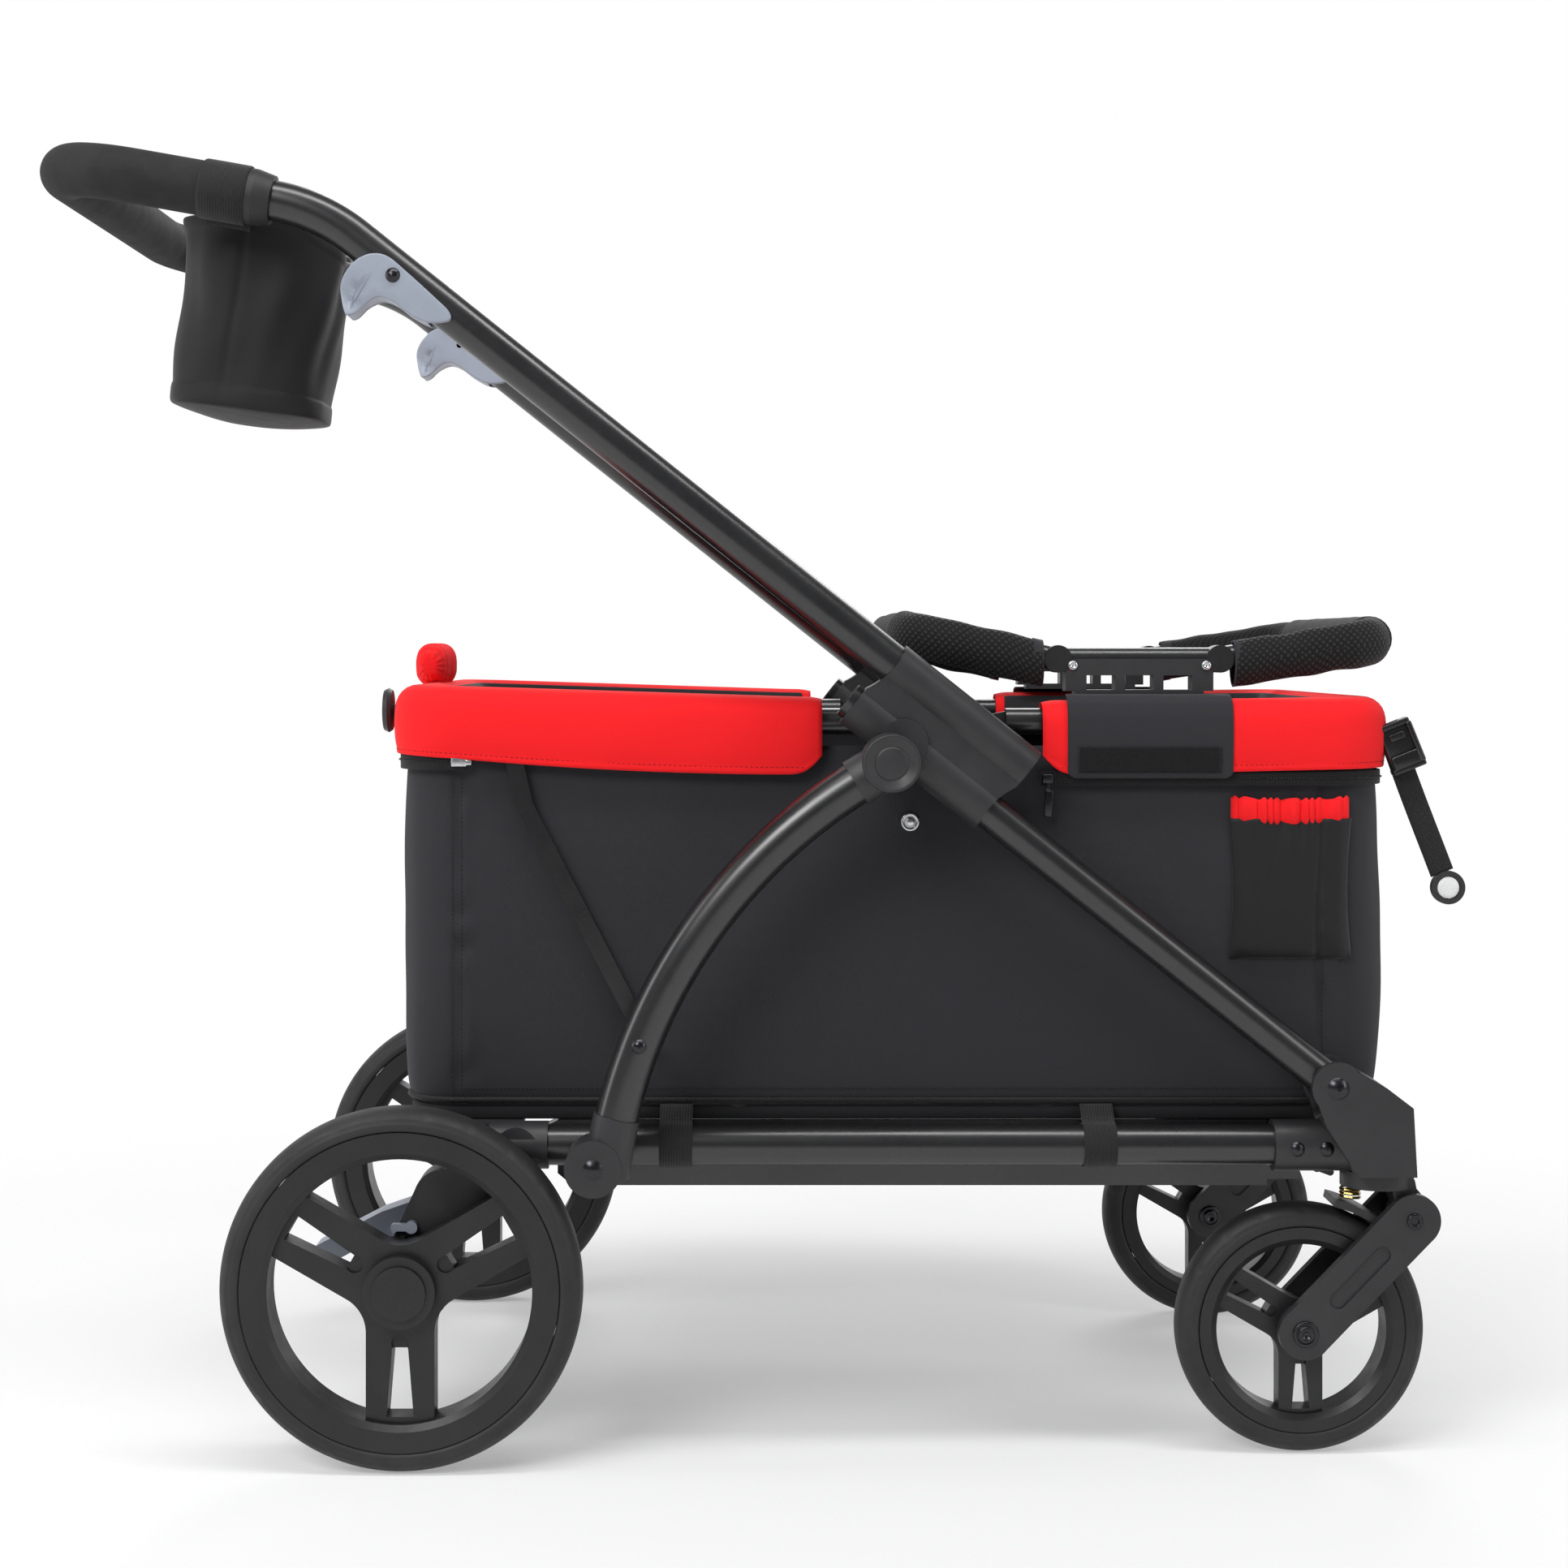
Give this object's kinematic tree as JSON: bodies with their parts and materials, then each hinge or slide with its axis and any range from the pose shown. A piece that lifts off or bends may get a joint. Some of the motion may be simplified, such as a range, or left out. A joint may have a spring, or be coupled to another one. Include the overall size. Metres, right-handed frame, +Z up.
{
  "type": "stroller wagon",
  "caption": "Folding stroller wagon with a fabric basket on a tube frame, large rear wheels, sprung swivel casters, a sliding push handle and a car seat adapter.",
  "frame": {"origin": "on the floor, under the centre of the wagon's box", "axes": "+X forward towards the casters, +Y to the left, +Z up"},
  "size_m": [1.1944, 0.6196, 1.0821],
  "materials": {
    "satin_tube": "satin black powder coat",
    "charcoal_plastic": "fine moulded texture",
    "bright_steel": "zinc plated",
    "black_cloth": "woven polyester",
    "red_cloth": "padded woven cloth",
    "grip_foam": "closed foam",
    "grey_plastic": "smooth moulded",
    "gold_spring": "zinc yellow",
    "tyre_rubber": "solid foam rubber",
    "rim_plastic": "moulded satin"
  },
  "bodies": {
    "chassis": {"side_tube_right": "satin_tube", "side_tube_left": "satin_tube", "front_block_right": "charcoal_plastic", "front_block_left": "charcoal_plastic", "rear_bracket_right": "charcoal_plastic", "rear_bracket_left": "charcoal_plastic", "front_cross_tube": "satin_tube", "rear_axle": "bright_steel", "floor_board": "black_cloth", "floor_rails": "satin_tube", "frame_bolts": "bright_steel", "basket_side_right": "black_cloth", "basket_side_left": "black_cloth", "basket_front": "black_cloth", "basket_rear": "black_cloth"},
    "front_legs": {"front_leg_right": "satin_tube", "front_leg_left": "satin_tube"},
    "handle": {"handle_tube": "satin_tube", "handle_grip": "grip_foam", "grip_collars": "charcoal_plastic", "slider_housing_right": "charcoal_plastic", "slider_housing_left": "charcoal_plastic", "handle_pins": "bright_steel", "cup_holder": "black_cloth", "cup_straps": "black_cloth"},
    "rear_legs": {"rear_leg_right": "satin_tube", "rear_leg_left": "satin_tube", "rear_leg_caps": "charcoal_plastic", "link_pins": "bright_steel"},
    "links": {"rail_link_right": "satin_tube", "rail_link_left": "satin_tube"},
    "rear_rail": {"rear_rail": "satin_tube", "rear_cover": "red_cloth", "headrest_roll": "red_cloth", "rear_knob": "charcoal_plastic"},
    "front_rail": {"front_rail": "satin_tube", "front_cover": "red_cloth", "adapter_ring": "satin_tube", "adapter_brackets": "charcoal_plastic", "pull_strap": "black_cloth", "pull_ring": "charcoal_plastic"},
    "brake": {"brake_pedal": "grey_plastic"},
    "lever_right": {"release_lever_right": "grey_plastic"},
    "caster_right": {"swivel_yoke_right": "charcoal_plastic", "spring_right": "gold_spring"},
    "swing_right": {"swing_arm_right": "charcoal_plastic"},
    "front_wheel_right": {"front_tyre_right": "tyre_rubber", "front_rim_right": "rim_plastic"},
    "rear_wheel_right": {"rear_tyre_right": "tyre_rubber", "rear_rim_right": "rim_plastic"},
    "lock_right": {"swivel_lock_right": "charcoal_plastic"},
    "lever_left": {"release_lever_left": "grey_plastic"},
    "caster_left": {"swivel_yoke_left": "charcoal_plastic", "spring_left": "gold_spring"},
    "swing_left": {"swing_arm_left": "charcoal_plastic"},
    "front_wheel_left": {"front_tyre_left": "tyre_rubber", "front_rim_left": "rim_plastic"},
    "rear_wheel_left": {"rear_tyre_left": "tyre_rubber", "rear_rim_left": "rim_plastic"},
    "lock_left": {"swivel_lock_left": "charcoal_plastic"}
  },
  "joints": [
    {"name": "fold", "type": "hinge", "parent": "chassis", "child": "rear_legs", "pos_m": [-0.12577, 0, 0.245], "axis": [0, 1, 0], "range_deg": [0, 42], "deforming": ["basket_side_right", "basket_side_left", "basket_front", "basket_rear"]},
    {"name": "front_leg_fold", "type": "hinge", "parent": "chassis", "child": "front_legs", "pos_m": [0.47623, 0, 0.304], "axis": [0, -1, 0], "range_deg": [0, 27.27]},
    {"name": "handle_slide", "type": "slide", "parent": "front_legs", "child": "handle", "axis": [0.7826, 0, -0.6225], "range_m": [0, 0.2413]},
    {"name": "rear_rail_tilt", "type": "hinge", "parent": "handle", "child": "rear_rail", "pos_m": [0.15044, 0, 0.58678], "axis": [0, 1, 0], "range_deg": [0, 27.27]},
    {"name": "front_rail_tilt", "type": "hinge", "parent": "handle", "child": "front_rail", "pos_m": [0.15044, 0, 0.58678], "axis": [0, 1, 0], "range_deg": [0, 27.27]},
    {"name": "link_fold", "type": "hinge", "parent": "rear_rail", "child": "links", "pos_m": [-0.20285, 0, 0.6], "axis": [0, -1, 0], "range_deg": [0, 66.1]},
    {"name": "brake_press", "type": "hinge", "parent": "chassis", "child": "brake", "pos_m": [-0.27577, 0, 0.19], "axis": [0, -1, 0], "range_deg": [0, 18]},
    {"name": "lever_squeeze_right", "type": "hinge", "parent": "handle", "child": "lever_right", "pos_m": [-0.28993, -0.25, 0.96326], "axis": [0, 1, 0], "range_deg": [0, 10], "stiffness_Nm_per_rad": 0.8, "springref_deg": -17.19},
    {"name": "swivel_right", "type": "hinge", "parent": "chassis", "child": "caster_right", "pos_m": [0.51723, -0.228, 0.232], "axis": [0, 0, 1], "continuous": true},
    {"name": "suspension_right", "type": "hinge", "parent": "caster_right", "child": "swing_right", "pos_m": [0.54123, -0.228, 0.194], "axis": [0, 1, 0], "range_deg": [0, 6], "stiffness_Nm_per_rad": 60, "springref_deg": -14.32, "deforming": ["spring_right"]},
    {"name": "front_roll_right", "type": "hinge", "parent": "swing_right", "child": "front_wheel_right", "pos_m": [0.45223, -0.228, 0.102], "axis": [0, 1, 0], "continuous": true},
    {"name": "rear_roll_right", "type": "hinge", "parent": "chassis", "child": "rear_wheel_right", "pos_m": [-0.28077, -0.283, 0.146], "axis": [0, 1, 0], "continuous": true},
    {"name": "swivel_lock_right", "type": "hinge", "parent": "chassis", "child": "lock_right", "pos_m": [0.46823, -0.2185, 0.2319], "axis": [0, 1, 0], "range_deg": [0, 12]},
    {"name": "lever_squeeze_left", "type": "hinge", "parent": "handle", "child": "lever_left", "pos_m": [-0.28993, 0.25, 0.96326], "axis": [0, 1, 0], "range_deg": [0, 10], "stiffness_Nm_per_rad": 0.8, "springref_deg": -17.19},
    {"name": "swivel_left", "type": "hinge", "parent": "chassis", "child": "caster_left", "pos_m": [0.51723, 0.228, 0.232], "axis": [0, 0, 1], "continuous": true},
    {"name": "suspension_left", "type": "hinge", "parent": "caster_left", "child": "swing_left", "pos_m": [0.54123, 0.228, 0.194], "axis": [0, 1, 0], "range_deg": [0, 6], "stiffness_Nm_per_rad": 60, "springref_deg": -14.32, "deforming": ["spring_left"]},
    {"name": "front_roll_left", "type": "hinge", "parent": "swing_left", "child": "front_wheel_left", "pos_m": [0.45223, 0.228, 0.102], "axis": [0, 1, 0], "continuous": true},
    {"name": "rear_roll_left", "type": "hinge", "parent": "chassis", "child": "rear_wheel_left", "pos_m": [-0.28077, 0.283, 0.146], "axis": [0, 1, 0], "continuous": true},
    {"name": "swivel_lock_left", "type": "hinge", "parent": "chassis", "child": "lock_left", "pos_m": [0.46823, 0.2185, 0.2319], "axis": [0, 1, 0], "range_deg": [0, 12]}
  ],
  "couplings": [
    {"joint": "front_leg_fold", "follows": "fold", "ratio": 0.64899},
    {"joint": "handle_slide", "follows": "fold", "m_per_rad": 0.32898},
    {"joint": "link_fold", "follows": "fold", "ratio": 1.5714},
    {"joint": "rear_rail_tilt", "follows": "fold", "ratio": 0.64899},
    {"joint": "front_rail_tilt", "follows": "fold", "ratio": 0.64899}
  ]
}
